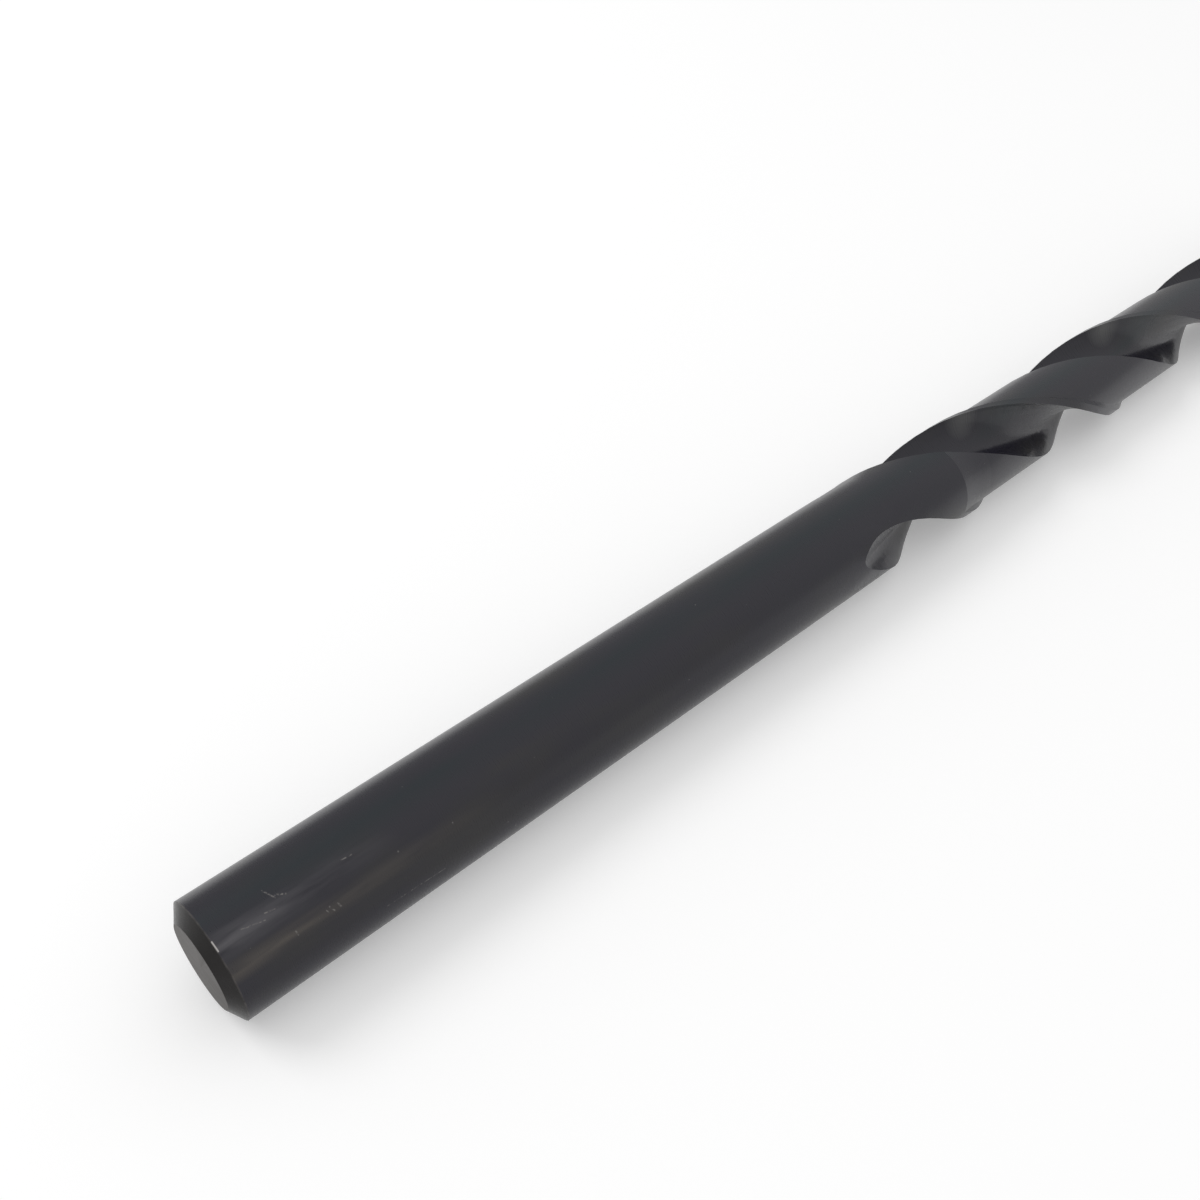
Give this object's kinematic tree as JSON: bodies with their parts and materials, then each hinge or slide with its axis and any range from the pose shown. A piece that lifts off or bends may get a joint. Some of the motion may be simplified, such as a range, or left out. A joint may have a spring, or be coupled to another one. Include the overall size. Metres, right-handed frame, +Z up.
{
  "type": "twist drill bit",
  "caption": "Straight-shank twist drill bit in black-oxide high-speed steel, with right-hand helical flutes, narrow margins, cleared lands, a bevelled shank end and a ground point.",
  "frame": {"origin": "centre of the flat ground on the shank end, on the drill's axis", "axes": "+X along the axis from the shank end to the point, +Z up from the surface the drill lies on, +Y level and square to both"},
  "size_m": [0.1741, 0.0095, 0.0095],
  "materials": {
    "black_oxide_steel": "satin black oxide over ground high-speed steel"
  },
  "bodies": {
    "root": {"twist_drill": "black_oxide_steel"}
  },
  "joints": []
}
